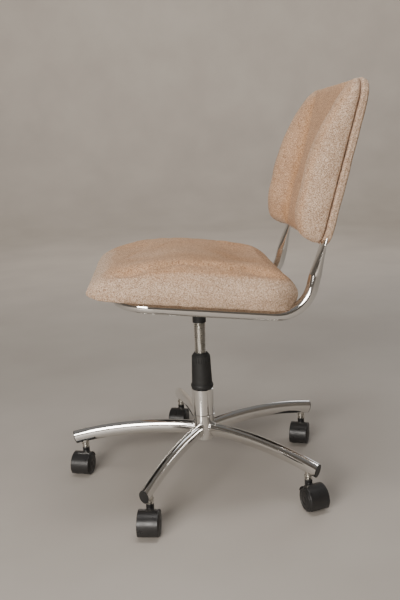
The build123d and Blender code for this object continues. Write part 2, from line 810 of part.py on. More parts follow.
def make_caster_housing(index):
    """Black hood over both wheels, with a centre web for the axle and a boss for the stem."""
    floor_plane, wheel_plane = caster_planes(index)
    reach = 2 * hood_outer_radius
    open_span = 360.0 - hood_high_angle + hood_low_angle
    cut_angles = [hood_high_angle + open_span * step / wedge_steps for step in range(wedge_steps + 1)]
    wedge = [(0, 0)] + [(reach * cos(radians(a)), reach * sin(radians(a))) for a in cut_angles]
    with BuildPart() as caster_housing:
        with BuildSketch(wheel_plane):
            Circle(hood_outer_radius)
            Polygon(*wedge, align=None, mode=Mode.SUBTRACT)
        extrude(amount=hood_half_width, both=True)
        with BuildSketch(floor_plane.offset(boss_bottom)):
            Circle(boss_radius)
        extrude(amount=boss_top - boss_bottom)
        with BuildSketch(wheel_plane):
            Circle(axle_boss_radius)
        extrude(amount=web_half_thickness, both=True)
        for side in (-1, 1):
            with BuildSketch(wheel_plane.offset(side * web_half_thickness)):
                Circle(wheel_cavity_radius)
            extrude(amount=side * hood_outer_radius, mode=Mode.SUBTRACT)
        with BuildSketch(wheel_plane):
            Circle(axle_radius + press_gap)
        extrude(amount=web_half_thickness, both=True, mode=Mode.SUBTRACT)
        with BuildSketch(floor_plane.offset(stem_bottom)):
            Circle(stem_radius + press_gap)
        extrude(amount=boss_top - stem_bottom, mode=Mode.SUBTRACT)
    caster_housing.part.label = f"caster_housing_{index + 1}"
    export_step(caster_housing.part, f"parts/caster_housing_{index + 1}.step")


def make_caster_stem(index):
    """Plated steel stem with the collar it stands on the hood by."""
    floor_plane, wheel_plane = caster_planes(index)
    with BuildPart() as caster_stem:
        with BuildSketch(floor_plane.offset(stem_bottom)):
            Circle(stem_radius)
        extrude(amount=stem_top - stem_bottom)
        with BuildSketch(floor_plane.offset(boss_top + press_gap)):
            Circle(stem_collar_radius)
        extrude(amount=stem_collar_height)
    caster_stem.part.label = f"caster_stem_{index + 1}"
    export_step(caster_stem.part, f"parts/caster_stem_{index + 1}.step")


def make_caster_axle(index):
    floor_plane, wheel_plane = caster_planes(index)
    with BuildPart() as caster_axle:
        with BuildSketch(wheel_plane):
            Circle(axle_radius)
        extrude(amount=axle_half_length, both=True)
    caster_axle.part.label = f"caster_axle_{index + 1}"
    export_step(caster_axle.part, f"parts/caster_axle_{index + 1}.step")


def make_wheel(index, name, side):
    """Plastic wheel: domed outer face, hub and rim joined by a web, open toward the housing."""
    floor_plane, wheel_plane = caster_planes(index)
    outward = wheel_plane.z_dir * side
    section = Plane(origin=wheel_plane.origin, x_dir=outward, z_dir=wheel_plane.x_dir * -side)
    bore = axle_radius + running_gap
    web_face = wheel_inner_face + wheel_web_depth
    rim_inner_face = wheel_inner_face + wheel_rim_step
    axle_end_face = axle_half_length + wheel_rim_step
    with BuildPart() as wheel:
        with BuildSketch(section):
            with BuildLine():
                Polyline(
                    (wheel_inner_face, bore),
                    (wheel_inner_face, bore + wheel_hub_wall),
                    (web_face, bore + wheel_hub_wall),
                    (web_face, wheel_radius - wheel_rim_depth),
                    (rim_inner_face, wheel_radius - wheel_rim_depth),
                    (rim_inner_face, wheel_radius - wheel_edge),
                    (rim_inner_face + wheel_edge, wheel_radius),
                    (wheel_rim_face - wheel_edge, wheel_radius),
                    (wheel_rim_face, wheel_radius - wheel_edge),
                    (wheel_outer_face - wheel_dome, wheel_dome_radius),
                    (wheel_outer_face, 0),
                    (axle_end_face, 0),
                    (axle_end_face, bore),
                    close=True,
                )
            make_face()
        revolve(axis=Axis(wheel_plane.origin, wheel_plane.z_dir))
    wheel.part.label = f"{name}_{index + 1}"
    export_step(wheel.part, f"parts/{name}_{index + 1}.step")


make_hub()
make_leg_end_caps()
make_caster_sockets()
make_guide_tube()
make_column_cover()
make_guide_bush()
make_thrust_bearing()
make_spindle_nut()
make_grip()
make_spindle()
make_spindle_trim()
make_seat_frame_tube()
make_crossbar("crossbar_front", -crossbar_offset)
make_crossbar("crossbar_rear", crossbar_offset)
make_bracket()
make_bracket_bolts()
make_seat_board()
make_seat_dust_cover()
make_seat_screws()
make_seat_cushion()
make_back_board()
make_back_cushion()
make_back_panel()
make_back_screws()
for position in range(leg_count):
    make_leg(position)
    make_caster_housing(position)
    make_caster_stem(position)
    make_caster_axle(position)
    make_wheel(position, "wheel_left", 1)
    make_wheel(position, "wheel_right", -1)
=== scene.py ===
import bmesh
import bpy
import math
from mathutils import Matrix, Vector, noise


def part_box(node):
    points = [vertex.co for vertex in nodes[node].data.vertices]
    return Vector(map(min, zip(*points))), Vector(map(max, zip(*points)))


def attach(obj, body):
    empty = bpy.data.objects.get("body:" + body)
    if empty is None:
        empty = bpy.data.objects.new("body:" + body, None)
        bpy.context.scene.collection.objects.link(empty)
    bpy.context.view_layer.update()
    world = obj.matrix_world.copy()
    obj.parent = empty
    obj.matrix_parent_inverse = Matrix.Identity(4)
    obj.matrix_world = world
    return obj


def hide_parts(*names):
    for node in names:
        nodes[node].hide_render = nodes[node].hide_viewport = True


# A swivel work chair: tweed seat and backrest on one bent chrome tube, over a column that is
# raised by turning a threaded grip, on five chrome legs with twin-wheel casters.
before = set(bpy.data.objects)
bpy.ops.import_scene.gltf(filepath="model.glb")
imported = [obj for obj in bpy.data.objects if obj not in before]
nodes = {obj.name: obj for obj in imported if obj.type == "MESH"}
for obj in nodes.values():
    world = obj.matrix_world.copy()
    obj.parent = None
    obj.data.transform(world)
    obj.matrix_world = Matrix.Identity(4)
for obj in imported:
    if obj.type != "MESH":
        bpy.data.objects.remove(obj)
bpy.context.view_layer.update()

# ---- Studio. The chair stands on a plain pale floor, seen from its left side a little above
# the seat. A broad soft light stands at its left front, a weaker one hangs overhead, a faint one
# stands behind, and a long one washes the wall. The dim room gives the chrome dark to mirror.
camera_place = Vector((1.547, -0.085, 0.752))
camera_heading = math.radians(176.71)
camera_dip = math.radians(12.67)
camera_roll = math.radians(-2.685)
camera_lens = 43.0


def aimed(place, ahead, roll=0.0):
    """Placing matrix for a camera or a light at this place, looking ahead, rolled about its line of sight."""
    ahead = ahead.normalized()
    level = ahead.cross(Vector((0, 0, 1))).normalized()
    right = level * math.cos(roll) + level.cross(ahead) * math.sin(roll)
    upward = right.cross(ahead)
    turn = Matrix((right, upward, -ahead)).transposed()
    return Matrix.Translation(place) @ turn.to_4x4()


def softbox(name, place, target, width, height, power, colour):
    """A rectangular studio light that faces the target."""
    lamp = bpy.data.lights.new(name, "AREA")
    lamp.shape = "RECTANGLE"
    lamp.size = width
    lamp.size_y = height
    lamp.energy = power
    lamp.color = colour
    box = bpy.data.objects.new(name, lamp)
    box.matrix_world = aimed(place, target - place)
    bpy.context.scene.collection.objects.link(box)


camera = bpy.data.objects.new("camera", bpy.data.cameras.new("camera"))
camera.data.lens = camera_lens
camera.data.dof.use_dof = False
view_ahead = Vector(
    (
        math.cos(camera_heading) * math.cos(camera_dip),
        math.sin(camera_heading) * math.cos(camera_dip),
        -math.sin(camera_dip),
    )
)
camera.matrix_world = aimed(camera_place, view_ahead, camera_roll)
bpy.context.scene.collection.objects.link(camera)
bpy.context.scene.camera = camera

seat_middle = Vector((0, 0, 0.45))
wall_middle = Vector((-5.4, -0.2, 1.6))
softbox("key_light", Vector((2.6, -1.4, 1.25)), seat_middle, 1.4, 1.2, 95, (1.0, 0.955, 0.90))
softbox("top_light", Vector((0.3, 0.1, 2.6)), seat_middle, 1.3, 0.45, 22, (1.0, 0.98, 0.95))
softbox("rear_fill", Vector((-2.2, 2.0, 1.6)), seat_middle, 1.4, 1.4, 11, (0.95, 0.97, 1.0))
softbox("wall_wash", Vector((-2.2, 0.2, 3.0)), wall_middle, 3.6, 0.8, 105, (1.0, 0.94, 0.87))


def finish_material(name, metallic, roughness):
    """A new procedural finish: the material, its shader, and its coordinates fixed to the piece."""
    material = bpy.data.materials.new(name)
    material.use_nodes = True
    shader = material.node_tree.nodes["Principled BSDF"]
    shader.inputs["Metallic"].default_value = metallic
    shader.inputs["Roughness"].default_value = roughness
    place = material.node_tree.nodes.new("ShaderNodeTexCoord").outputs["Object"]
    return material, shader, place


def clouds(material, place, scale, detail=3.0):
    """Soft random patches, this many to the metre, from 0 to 1."""
    patches = material.node_tree.nodes.new("ShaderNodeTexNoise")
    patches.inputs["Scale"].default_value = scale
    patches.inputs["Detail"].default_value = detail
    material.node_tree.links.new(place, patches.inputs["Vector"])
    return patches.outputs["Fac"]


def between(material, factor, stops, target):
    """Turns a 0 to 1 pattern into colours or grey levels at the given stops, and feeds the target."""
    ramp = material.node_tree.nodes.new("ShaderNodeValToRGB")
    for position, colour in stops[1:-1]:
        ramp.color_ramp.elements.new(position)
    for element, (position, colour) in zip(ramp.color_ramp.elements, stops):
        element.position = position
        element.color = colour if len(colour) == 4 else (*colour, 1)
    material.node_tree.links.new(factor, ramp.inputs["Fac"])
    material.node_tree.links.new(ramp.outputs["Color"], target)


def grey(level):
    return (level, level, level)


def relief(material, shader, height, depth, strength=1.0):
    """Raises the surface by a 0 to 1 pattern, this many metres deep."""
    bump = material.node_tree.nodes.new("ShaderNodeBump")
    bump.inputs["Distance"].default_value = depth
    bump.inputs["Strength"].default_value = strength
    material.node_tree.links.new(height, bump.inputs["Height"])
    earlier = shader.inputs["Normal"].links
    if earlier:
        material.node_tree.links.new(earlier[0].from_socket, bump.inputs["Normal"])
    material.node_tree.links.new(bump.outputs["Normal"], shader.inputs["Normal"])


def studio_room():
    """Dim surroundings: pale along the horizon, darker overhead and below."""
    world = bpy.data.worlds.new("studio_room")
    world.use_nodes = True
    tree = world.node_tree
    direction = tree.nodes.new("ShaderNodeTexCoord").outputs["Generated"]
    split = tree.nodes.new("ShaderNodeSeparateXYZ")
    tree.links.new(direction, split.inputs["Vector"])
    raised = tree.nodes.new("ShaderNodeMapRange")
    raised.inputs["From Min"].default_value = -1.0
    tree.links.new(split.outputs["Z"], raised.inputs["Value"])
    ramp = tree.nodes.new("ShaderNodeValToRGB")
    levels = [(0.0, 0.16), (0.46, 0.22), (0.5, 0.50), (0.60, 0.42), (0.72, 0.14), (1.0, 0.24)]
    for position, level in levels[1:-1]:
        ramp.color_ramp.elements.new(position)
    for element, (position, level) in zip(ramp.color_ramp.elements, levels):
        element.position = position
        element.color = (level, level * 0.97, level * 0.93, 1)
    tree.links.new(raised.outputs["Result"], ramp.inputs["Fac"])
    tree.links.new(ramp.outputs["Color"], tree.nodes["Background"].inputs["Color"])
    bpy.context.scene.world = world


def pale_floor():
    """Matt pale floor that sweeps up into a round wall a long way off, faintly mottled."""
    sides = 96
    flat_radius = 4.6
    sweep = 1.6
    wall_top = 3.4
    steps = 10
    profile = [(flat_radius, 0.0)]
    for step in range(1, steps + 1):
        turn = math.radians(90.0 * step / steps)
        profile.append((flat_radius + sweep * math.sin(turn), sweep * (1 - math.cos(turn))))
    profile.append((flat_radius + sweep, wall_top))
    points = []
    for radius, height in profile:
        for side in range(sides):
            turn = math.tau * side / sides
            points.append((radius * math.cos(turn), radius * math.sin(turn), height))
    faces = [tuple(range(sides))]
    for ring in range(len(profile) - 1):
        for side in range(sides):
            after = (side + 1) % sides
            low, high = ring * sides, (ring + 1) * sides
            faces.append((low + side, high + side, high + after, low + after))
    sheet = bpy.data.meshes.new("studio_floor")
    sheet.from_pydata(points, [], faces)
    sheet.shade_smooth()
    floor = bpy.data.objects.new("studio_floor", sheet)
    bpy.context.scene.collection.objects.link(floor)
    material, shader, place = finish_material("pale_floor", 0.0, 0.6)
    mottle = [(0.3, (0.45, 0.41, 0.37)), (0.7, (0.50, 0.46, 0.415))]
    between(material, clouds(material, place, 3.0), mottle, shader.inputs["Base Color"])
    sheet.materials.append(material)


studio_room()
pale_floor()


# ---- Chromed base: the hub tube, five arched oval legs and the column cover are mild steel,
# polished and bright chrome plated after the legs are welded to the hub.
def chrome_finish():
    material, shader, place = finish_material("bright_chrome", 1.0, 0.06)
    shader.inputs["Base Color"].default_value = (0.80, 0.79, 0.77, 1)
    wiped = [(0.35, grey(0.035)), (0.72, grey(0.14))]
    between(material, clouds(material, place, 90.0, 6.0), wiped, shader.inputs["Roughness"])
    relief(material, shader, clouds(material, place, 16.0, 1.0), 0.0004, 0.25)
    return material


def zinc_finish():
    material, shader, place = finish_material("zinc_steel", 1.0, 0.3)
    tones = [(0.3, (0.46, 0.44, 0.40)), (0.7, (0.62, 0.60, 0.55))]
    between(material, clouds(material, place, 140.0, 5.0), tones, shader.inputs["Base Color"])
    dulled = [(0.3, grey(0.22)), (0.7, grey(0.42))]
    between(material, clouds(material, place, 60.0, 5.0), dulled, shader.inputs["Roughness"])
    return material


def black_plastic(name, colour, roughness, grain):
    """Moulded black plastic with a fine spark-eroded grain."""
    material, shader, place = finish_material(name, 0.0, roughness)
    darker = tuple(channel * 0.75 for channel in colour)
    tones = [(0.3, darker), (0.7, colour)]
    between(material, clouds(material, place, 45.0), tones, shader.inputs["Base Color"])
    handled = [(0.3, grey(roughness - 0.07)), (0.7, grey(roughness + 0.09))]
    between(material, clouds(material, place, 110.0), handled, shader.inputs["Roughness"])
    relief(material, shader, clouds(material, place, 1500.0, 2.0), grain, 0.5)
    return material


def dress(material, *names):
    """Gives CAD pieces their finish."""
    for name in names:
        mesh = nodes[name].data
        mesh.materials.clear()
        mesh.materials.append(material)


leg_count = 5
chrome = chrome_finish()
dress(chrome, "hub_tube", "column_cover", *[f"base_leg_{number + 1}" for number in range(leg_count)])
first_leg_angle = 45.0
hub_radius = 0.0240
leg_half_width = 0.010
leg_half_height = 0.016
leg_root_height = 0.1043
weld_radius = 0.0019
weld_ripples = 72
weld_clearance = 0.0004


def take_result(piece):
    """Replaces a piece's mesh by what its modifiers make of it, and drops them."""
    bpy.context.view_layer.update()
    made = bpy.data.meshes.new_from_object(piece.evaluated_get(bpy.context.evaluated_depsgraph_get()))
    piece.modifiers.clear()
    piece.data = made


def new_tree(name, inputs):
    """An empty Geometry Nodes tree with one geometry input and output, and these named inputs."""
    tree = bpy.data.node_groups.new(name, "GeometryNodeTree")
    tree.interface.new_socket("Geometry", in_out="INPUT", socket_type="NodeSocketGeometry")
    tree.interface.new_socket("Geometry", in_out="OUTPUT", socket_type="NodeSocketGeometry")
    for label, kind in inputs:
        tree.interface.new_socket(label, in_out="INPUT", socket_type=kind)
    return tree, tree.nodes.new("NodeGroupInput"), tree.nodes.new("NodeGroupOutput")


def step_node(tree, kind, **feeds):
    """A node of this kind, its inputs fed by sockets or set to values, by the input's name."""
    node = tree.nodes.new(kind)
    for label, feed in feeds.items():
        socket = node.inputs[label.replace("_", " ")]
        if isinstance(feed, bpy.types.NodeSocket):
            tree.links.new(feed, socket)
        else:
            socket.default_value = feed
    return node


def maths(tree, operation, *feeds):
    """The result of one sum on sockets or numbers."""
    node = tree.nodes.new("ShaderNodeMath")
    node.operation = operation
    for feed, socket in zip(feeds, node.inputs):
        if isinstance(feed, bpy.types.NodeSocket):
            tree.links.new(feed, socket)
        else:
            socket.default_value = feed
    return node.outputs[0]


def finish_tree(tree, group_in, group_out, geometry):
    """Ends a tree: real geometry, with its material."""
    real = step_node(tree, "GeometryNodeRealizeInstances", Geometry=geometry)
    finish = group_in.outputs["Material"]
    dressed = step_node(tree, "GeometryNodeSetMaterial", Geometry=real.outputs[0], Material=finish)
    tree.links.new(dressed.outputs[0], group_out.inputs[0])


def made_by(tree, name, points, edges, values, turns=None):
    """A plain mesh that the tree makes from these points and edges, each point with its turn."""
    start = bpy.data.meshes.new(name)
    start.from_pydata(points, edges, [])
    if turns:
        kept = start.attributes.new("turn", "FLOAT_VECTOR", "POINT")
        for entry, turn in zip(kept.data, turns):
            entry.vector = turn
    piece = bpy.data.objects.new(name, start)
    bpy.context.scene.collection.objects.link(piece)
    rule = piece.modifiers.new("rule", "NODES")
    rule.node_group = tree
    for socket in tree.interface.items_tree:
        if socket.in_out == "INPUT" and socket.name in values:
            rule[socket.identifier] = values[socket.name]
    take_result(piece)
    return piece


def weld_tree():
    """A rippled weld bead that follows each closed loop of edges."""
    inputs = [("Bead Radius", "NodeSocketFloat"), ("Ripples", "NodeSocketInt")]
    inputs += [("Material", "NodeSocketMaterial")]
    tree, group_in, group_out = new_tree("weld_beads", inputs)
    value = group_in.outputs
    loops = step_node(tree, "GeometryNodeMeshToCurve", Mesh=value["Geometry"])
    even = step_node(tree, "GeometryNodeResampleCurve", Curve=loops.outputs[0], Count=value["Ripples"])
    index = tree.nodes.new("GeometryNodeInputIndex").outputs[0]
    ripple = maths(tree, "MULTIPLY_ADD", maths(tree, "SINE", maths(tree, "MULTIPLY", index, 1.9)), 0.16, 1.0)
    profile = step_node(tree, "GeometryNodeCurvePrimitiveCircle", Radius=value["Bead Radius"], Resolution=10)
    bead = step_node(tree, "GeometryNodeCurveToMesh", Curve=even.outputs[0], Profile_Curve=profile.outputs[0])
    if "Scale" in bead.inputs:
        tree.links.new(ripple, bead.inputs["Scale"])
    smooth = step_node(tree, "GeometryNodeSetShadeSmooth", Geometry=bead.outputs[0])
    finish_tree(tree, group_in, group_out, smooth.outputs[0])
    return tree


def leg_root_loops():
    """Where each oval leg meets the round hub."""
    points, edges = [], []
    steps = 36
    for leg in range(leg_count):
        turn = Matrix.Rotation(math.radians(first_leg_angle + 360.0 * leg / leg_count), 3, "Z")
        first = len(points)
        for step in range(steps):
            angle = math.tau * step / steps
            across = leg_half_width * math.cos(angle)
            out = math.sqrt((hub_radius + weld_clearance) ** 2 - across**2)
            up = leg_root_height + leg_half_height * math.sin(angle)
            points.append(tuple(turn @ Vector((out, across, up))))
            edges.append((first + step, first + (step + 1) % steps))
    return points, edges


loop_points, loop_edges = leg_root_loops()
leg_welds = made_by(weld_tree(), "leg_welds", loop_points, loop_edges,
                    {"Bead Radius": weld_radius, "Ripples": weld_ripples, "Material": chrome})
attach(leg_welds, "base")


# ---- Small parts of the base: moulded oval plugs in the leg ends, plated steel sleeves for the
# caster stems, and inside the column the guide tube, its nylon bush and the ball race.
zinc = zinc_finish()
trim_black = black_plastic("trim_plastic", (0.018, 0.018, 0.018), 0.45, 0.00006)
dark_steel = black_plastic("black_paint", (0.022, 0.022, 0.022), 0.40, 0.00003)
nylon = black_plastic("nylon", (0.55, 0.54, 0.50), 0.45, 0.00004)
dress(trim_black, "leg_end_caps")
dress(zinc, "caster_sockets", "thrust_race", "thrust_balls")
dress(dark_steel, "guide_tube")
dress(nylon, "guide_bush")


# ---- Height grip. A black plastic sleeve moulded round the steel nut: bead at its foot, matt
# waist, fluted crown. Turning it by hand raises or lowers the spindle.
grip_black = black_plastic("grip_plastic", (0.016, 0.016, 0.0155), 0.60, 0.00015)
dress(grip_black, "grip_sleeve")
dress(zinc, "spindle_nut")


# ---- Spindle. A zinc plated steel bar with a rolled 26 mm trapezoidal thread and a milled
# keyway, a plain journal at the top that the seat turns on, a black plastic collar below it.
def thread_tree():
    """A bar whose radius follows a helical thread, with a flat-bottomed keyway cut into it."""
    floats = ["Bottom", "Shoulder", "Top", "Core Radius", "Thread Depth", "Pitch", "Journal Radius",
              "Keyway Half Width", "Keyway Floor", "Keyway Angle", "Keyway Top"]
    inputs = [(label, "NodeSocketFloat") for label in floats]
    inputs += [("Rings", "NodeSocketInt"), ("Material", "NodeSocketMaterial")]
    tree, group_in, group_out = new_tree("spindle_thread", inputs)
    value = group_in.outputs
    foot = step_node(tree, "ShaderNodeCombineXYZ", Z=value["Bottom"])
    head = step_node(tree, "ShaderNodeCombineXYZ", Z=value["Top"])
    axis = step_node(tree, "GeometryNodeCurvePrimitiveLine", Start=foot.outputs[0], End=head.outputs[0])
    rings = step_node(tree, "GeometryNodeResampleCurve", Curve=axis.outputs[0], Count=value["Rings"])
    circle = step_node(tree, "GeometryNodeCurvePrimitiveCircle", Radius=1.0, Resolution=120)
    bar = step_node(tree, "GeometryNodeCurveToMesh", Curve=rings.outputs[0], Profile_Curve=circle.outputs[0],
                    Fill_Caps=True)
    position = tree.nodes.new("GeometryNodeInputPosition").outputs[0]
    place = step_node(tree, "ShaderNodeSeparateXYZ", Vector=position)
    x, y, z = place.outputs
    angle = maths(tree, "DIVIDE", maths(tree, "ARCTAN2", y, x), math.tau)
    phase = maths(tree, "FRACT", maths(tree, "SUBTRACT", maths(tree, "DIVIDE", z, value["Pitch"]), angle))
    flank = maths(tree, "MULTIPLY", maths(tree, "ABSOLUTE", maths(tree, "SUBTRACT", phase, 0.5)), 2.0)
    crest = step_node(tree, "ShaderNodeMapRange", Value=flank, From_Min=0.32, From_Max=0.66).outputs[0]
    threaded = maths(tree, "MULTIPLY_ADD", crest, value["Thread Depth"], value["Core Radius"])
    above = maths(tree, "GREATER_THAN", z, value["Shoulder"])
    plain = maths(tree, "MULTIPLY", above, value["Journal Radius"])
    turned = maths(tree, "ADD", plain, maths(tree, "MULTIPLY", threaded, maths(tree, "SUBTRACT", 1.0, above)))
    cosine = maths(tree, "COSINE", value["Keyway Angle"])
    sine = maths(tree, "SINE", value["Keyway Angle"])
    along = maths(tree, "ADD", maths(tree, "MULTIPLY", x, cosine), maths(tree, "MULTIPLY", y, sine))
    sideways = maths(tree, "SUBTRACT", maths(tree, "MULTIPLY", y, cosine), maths(tree, "MULTIPLY", x, sine))
    across = maths(tree, "MULTIPLY", maths(tree, "ABSOLUTE", sideways), turned)
    in_slot = maths(tree, "MULTIPLY", maths(tree, "LESS_THAN", across, value["Keyway Half Width"]),
                    maths(tree, "GREATER_THAN", along, 0.0))
    in_slot = maths(tree, "MULTIPLY", in_slot, maths(tree, "LESS_THAN", z, value["Keyway Top"]))
    floor_radius = maths(tree, "DIVIDE", value["Keyway Floor"], maths(tree, "MAXIMUM", along, 0.5))
    cut = maths(tree, "MINIMUM", turned, floor_radius)
    radius = maths(tree, "ADD", maths(tree, "MULTIPLY", cut, in_slot),
                   maths(tree, "MULTIPLY", turned, maths(tree, "SUBTRACT", 1.0, in_slot)))
    moved = step_node(tree, "ShaderNodeCombineXYZ", X=maths(tree, "MULTIPLY", x, radius),
                      Y=maths(tree, "MULTIPLY", y, radius), Z=z)
    shaped = step_node(tree, "GeometryNodeSetPosition", Geometry=bar.outputs[0], Position=moved.outputs[0])
    finish_tree(tree, group_in, group_out, shaped.outputs[0])
    return tree


spindle_low, spindle_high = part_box("spindle")
threaded_spindle = made_by(thread_tree(), "threaded_spindle", [(0, 0, 0)], [], {
    "Bottom": spindle_low.z, "Shoulder": 0.3681, "Top": spindle_high.z, "Core Radius": 0.01075,
    "Thread Depth": 0.0022, "Pitch": 0.005, "Journal Radius": 0.011, "Keyway Half Width": 0.0025,
    "Keyway Floor": 0.0104, "Keyway Angle": math.radians(-18.0), "Keyway Top": 0.340, "Rings": 590,
    "Material": zinc})
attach(threaded_spindle, "spindle")
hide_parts("spindle")
dress(zinc, "spindle_stop_ring", "swivel_washer", "swivel_screw")
dress(grip_black, "top_collar")


# ---- Seat frame. One chromed 25 mm tube bent from the front crossing to the flattened uprights,
# black square crossbars welded between its sides, and the pressed bracket bolted beneath them.
dress(chrome, "seat_frame_tube")
dress(dark_steel, "crossbar_front", "crossbar_rear", "bracket_plate", "swivel_socket")
dress(zinc, "bracket_bolts", "back_screws")


# ---- Seat pad. Foam on a plywood board, covered in flecked wool tweed that is drawn over the
# edge, gathered into small pleats at the corners and stapled under the board. It is shaped
# here, then swelled by a cloth simulation with its flat underside held.
rake = math.radians(6.8)
seat_frame_height = 0.4217
seat_axes = Matrix(((1, 0, 0), (0, math.cos(rake), math.sin(rake)), (0, -math.sin(rake), math.cos(rake))))
seat_place = Matrix.Translation((0, 0, seat_frame_height)) @ seat_axes.to_4x4()
seat_half_width = 0.223
seat_front = -0.238
seat_rear = 0.196
seat_corners = (0.058, 0.070)
seat_underside = 0.0133
seat_widest = 0.0215
seat_fullness = 0.080
seat_crown = -0.030
seat_tuck = 0.004
seat_bolster = 0.150
seat_blunt = 0.020
swell = 0.004
pad_voxel = 0.005
pad_sides = 200
edge_steps = 6
dome_steps = 44
smallest_ring = 0.0005
swelling_frames = 20


def tweed_cloth():
    """Wool tweed: brown, tan and cream yarn flecks, tinted a darker warm tan where each piece says: partly
    wear where it is sat on, partly painted shade.
    """
    material, shader, place = finish_material("flecked_tweed", 0.0, 0.92)
    tree = material.node_tree
    yarn = tree.nodes.new("ShaderNodeTexVoronoi")
    yarn.inputs["Scale"].default_value = 820.0
    tree.links.new(place, yarn.inputs["Vector"])
    fleck = tree.nodes.new("ShaderNodeSeparateColor")
    tree.links.new(yarn.outputs["Color"], fleck.inputs["Color"])
    untinted_yarn = tree.nodes.new("ShaderNodeMix")
    untinted_yarn.data_type = "RGBA"
    untinted_yarn.blend_type = "MULTIPLY"
    untinted_yarn.inputs["Factor"].default_value = 1.0
    flecks = [(0.0, (0.20, 0.115, 0.070)), (0.18, (0.42, 0.275, 0.180)), (0.5, (0.60, 0.42, 0.29)),
              (0.82, (0.72, 0.53, 0.395)), (1.0, (0.88, 0.72, 0.57))]
    between(material, fleck.outputs["Red"], flecks, untinted_yarn.inputs["A"])
    patches = clouds(material, place, 14.0, 4.0)
    between(material, patches, [(0.3, grey(0.90)), (0.7, grey(1.0))], untinted_yarn.inputs["B"])
    # Darker warm tint read from each point: partly wear, partly painted shade on the seat top and in the
    # backrest's hollow.
    wear_and_shade = tree.nodes.new("ShaderNodeAttribute")
    wear_and_shade.attribute_name = "wear_and_shade"
    wear_and_shade_tint = tree.nodes.new("ShaderNodeMix")
    wear_and_shade_tint.data_type = "RGBA"
    wear_and_shade_tint.blend_type = "MULTIPLY"
    wear_and_shade_tint.inputs["B"].default_value = (0.86, 0.70, 0.54, 1)
    tree.links.new(wear_and_shade.outputs["Fac"], wear_and_shade_tint.inputs["Factor"])
    tree.links.new(untinted_yarn.outputs["Result"], wear_and_shade_tint.inputs["A"])
    tree.links.new(wear_and_shade_tint.outputs["Result"], shader.inputs["Base Color"])
    shader.inputs["Specular IOR Level"].default_value = 0.15
    shader.inputs["Sheen Weight"].default_value = 0.12
    shader.inputs["Sheen Roughness"].default_value = 0.55
    shader.inputs["Sheen Tint"].default_value = (1.0, 0.92, 0.84, 1)
    relief(material, shader, yarn.outputs["Distance"], 0.0006, 0.6)
    relief(material, shader, clouds(material, place, 900.0, 2.0), 0.0005, 0.5)
    return material


def rounded(share, rise, fall):
    """A dome's height from 1 in the middle to 0 at the edge, blunter as the powers grow."""
    return max(0.0, 1.0 - min(abs(share), 1.0) ** rise) ** (1.0 / fall)


def smooth_step(value, low, high):
    share = min(max((value - low) / (high - low), 0.0), 1.0)
    return share * share * (3 - 2 * share)


def inside_edge(x, y, half_width, half_length, corners):
    """How far a point lies inside a rectangle's edge, its corners rounded by (lower, upper) radii."""
    corner = corners[0] if y < 0 else corners[1]
    beyond_x = abs(x) - (half_width - corner)
    beyond_y = abs(y) - (half_length - corner)
    outside = math.hypot(max(beyond_x, 0.0), max(beyond_y, 0.0)) + min(max(beyond_x, beyond_y), 0.0)
    return corner - outside


def pad_outline(half_width, half_length, corners, sides):
    """Points round a rounded rectangle, one for each direction from its middle."""
    points = []
    for side in range(sides):
        turn = math.tau * side / sides
        low, high = 0.0, half_width + half_length
        for halving in range(30):
            reach = (low + high) / 2
            x, y = reach * math.cos(turn), reach * math.sin(turn)
            if inside_edge(x, y, half_width, half_length, corners) > 0:
                low = reach
            else:
                high = reach
        points.append((low * math.cos(turn), low * math.sin(turn)))
    return points


def closed_rings(name, rings):
    """A closed mesh through equal rings of points, with a fan at each end."""
    sides = len(rings[0])
    points = [point for ring in rings for point in ring]
    faces = []
    for ring in range(len(rings) - 1):
        for side in range(sides):
            after = (side + 1) % sides
            low, high = ring * sides, (ring + 1) * sides
            faces.append((low + side, low + after, high + after, high + side))
    first, last = len(points), len(points) + 1
    for end in (rings[0], rings[-1]):
        middle = sum((Vector(point) for point in end), Vector()) / sides
        points.append(tuple(middle))
    top = (len(rings) - 1) * sides
    for side in range(sides):
        after = (side + 1) % sides
        faces.append((first, after, side))
        faces.append((last, top + side, top + after))
    mesh = bpy.data.meshes.new(name)
    mesh.from_pydata([tuple(point) for point in points], [], faces)
    piece = bpy.data.objects.new(name, mesh)
    bpy.context.scene.collection.objects.link(piece)
    return piece


def pad_form(name, outline, middle_y, underside, widest, tuck, top_height, place):
    """A pad: flat underneath, tucked in at its lower edge, widest a little way up, domed above."""
    rings = []
    for share in (smallest_ring, 0.3, 0.6, 0.8, 0.9):
        rings.append([(x * share, y * share + middle_y, underside) for x, y in outline])
    for step in range(edge_steps + 1):
        turn = math.radians(90.0 * step / edge_steps)
        inset = tuck * (1 - math.sin(turn))
        height = underside + (widest - underside) * (1 - math.cos(turn))
        ring = []
        for x, y in outline:
            shrink = 1 - inset / math.hypot(x, y)
            ring.append((x * shrink, y * shrink + middle_y, height))
        rings.append(ring)
    for step in range(1, dome_steps + 1):
        share = math.cos(math.radians(90.0 * step / dome_steps)) ** 0.7
        share = max(share, smallest_ring)
        ring = []
        for x, y in outline:
            across, along = x * share, y * share + middle_y
            ring.append((across, along, top_height(across, along)))
        rings.append(ring)
    return closed_rings(name, [[place @ Vector(point) for point in ring] for ring in rings])


def remeshed(piece, voxel, rounds):
    """Even small facets all over, with their steps smoothed out."""
    even = piece.modifiers.new("even", "REMESH")
    even.mode = "VOXEL"
    even.voxel_size = voxel
    smooth = piece.modifiers.new("smooth", "SMOOTH")
    smooth.factor = 0.5
    smooth.iterations = rounds
    take_result(piece)


